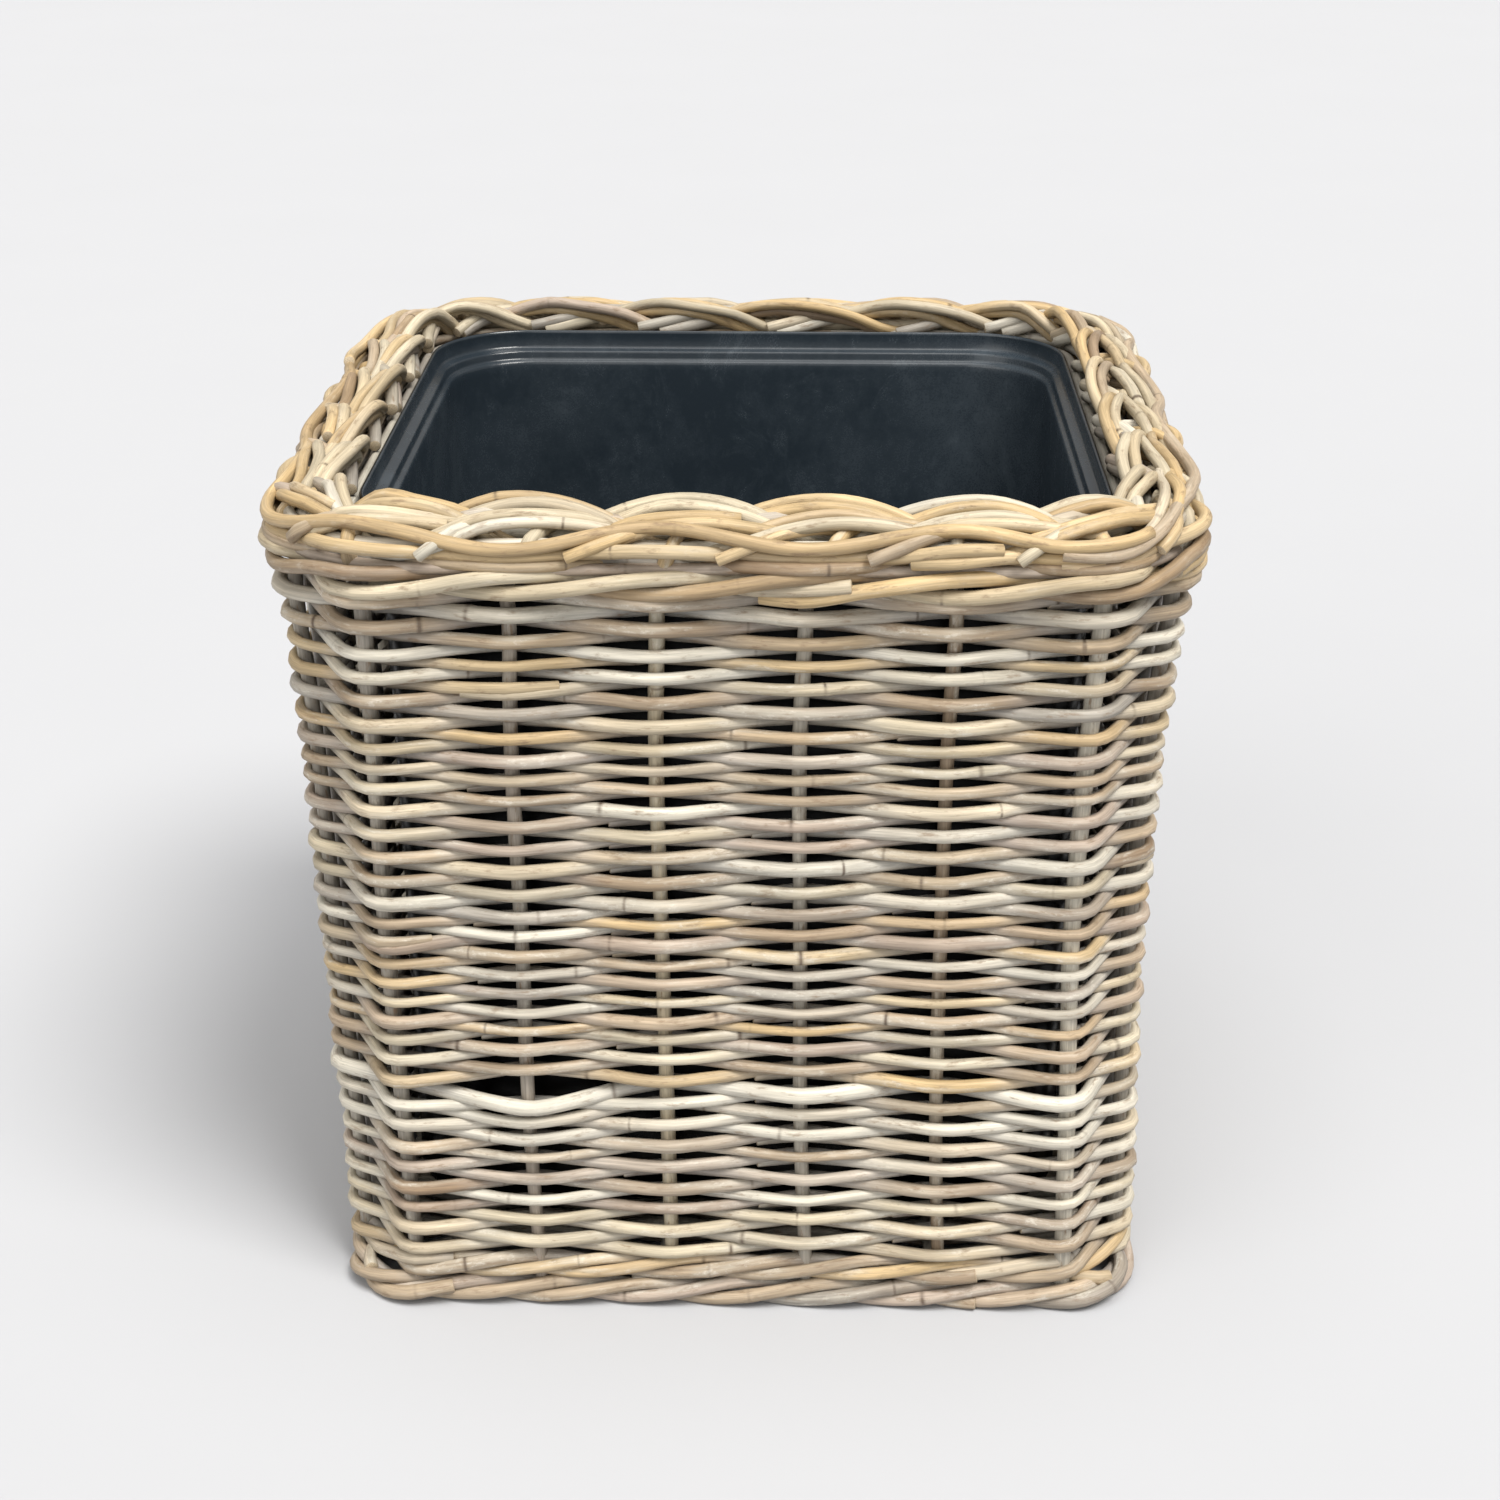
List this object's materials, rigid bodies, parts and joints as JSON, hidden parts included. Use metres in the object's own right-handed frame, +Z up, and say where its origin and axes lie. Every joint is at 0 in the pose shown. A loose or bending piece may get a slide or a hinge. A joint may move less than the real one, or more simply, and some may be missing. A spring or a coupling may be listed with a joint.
{
  "type": "wicker log basket",
  "caption": "Square basket of woven rattan cane with a plaited rim, a twisted foot border and a black moulded liner that lifts out, for logs or kindling.",
  "frame": {"origin": "on the floor under the middle of the basket", "axes": "+Z up, front facing -Y, +X to the right as seen from the front"},
  "size_m": [0.51, 0.51, 0.49],
  "materials": {
    "rattan_weave": "matt natural cane",
    "rattan_stake": "matt natural cane",
    "rattan_rim": "satin natural cane",
    "rattan_wale": "satin natural cane",
    "rattan_foot": "matt natural cane",
    "rattan_base": "matt natural cane",
    "liner": "semi-gloss moulded"
  },
  "bodies": {
    "basket": {"base_stick_1": "rattan_base", "base_stick_2": "rattan_base", "base_stick_3": "rattan_base", "base_stick_4": "rattan_base", "base_stick_5": "rattan_base", "base_stick_6": "rattan_base", "base_weave": "rattan_base", "corner_weave_back_left": "rattan_weave", "corner_weave_back_right": "rattan_weave", "corner_weave_front_left": "rattan_weave", "corner_weave_front_right": "rattan_weave", "foot_border": "rattan_foot", "rim_back": "rattan_rim", "rim_corner_back_left": "rattan_rim", "rim_corner_back_right": "rattan_rim", "rim_corner_front_left": "rattan_rim", "rim_corner_front_right": "rattan_rim", "rim_front": "rattan_rim", "rim_left": "rattan_rim", "rim_right": "rattan_rim", "side_weave_back": "rattan_weave", "side_weave_front": "rattan_weave", "side_weave_left": "rattan_weave", "side_weave_right": "rattan_weave", "stake_back_1": "rattan_stake", "stake_back_2": "rattan_stake", "stake_back_3": "rattan_stake", "stake_back_4": "rattan_stake", "stake_back_5": "rattan_stake", "stake_back_6": "rattan_stake", "stake_front_1": "rattan_stake", "stake_front_2": "rattan_stake", "stake_front_3": "rattan_stake", "stake_front_4": "rattan_stake", "stake_front_5": "rattan_stake", "stake_front_6": "rattan_stake", "stake_left_1": "rattan_stake", "stake_left_2": "rattan_stake", "stake_left_3": "rattan_stake", "stake_left_4": "rattan_stake", "stake_left_5": "rattan_stake", "stake_left_6": "rattan_stake", "stake_right_1": "rattan_stake", "stake_right_2": "rattan_stake", "stake_right_3": "rattan_stake", "stake_right_4": "rattan_stake", "stake_right_5": "rattan_stake", "stake_right_6": "rattan_stake", "top_wale": "rattan_wale"},
    "liner_tub": {"liner": "liner"}
  },
  "joints": [
    {"name": "liner_lift", "type": "slide", "parent": "basket", "child": "liner_tub", "axis": [0, 0, 1], "range_m": [0, 0.5]}
  ]
}
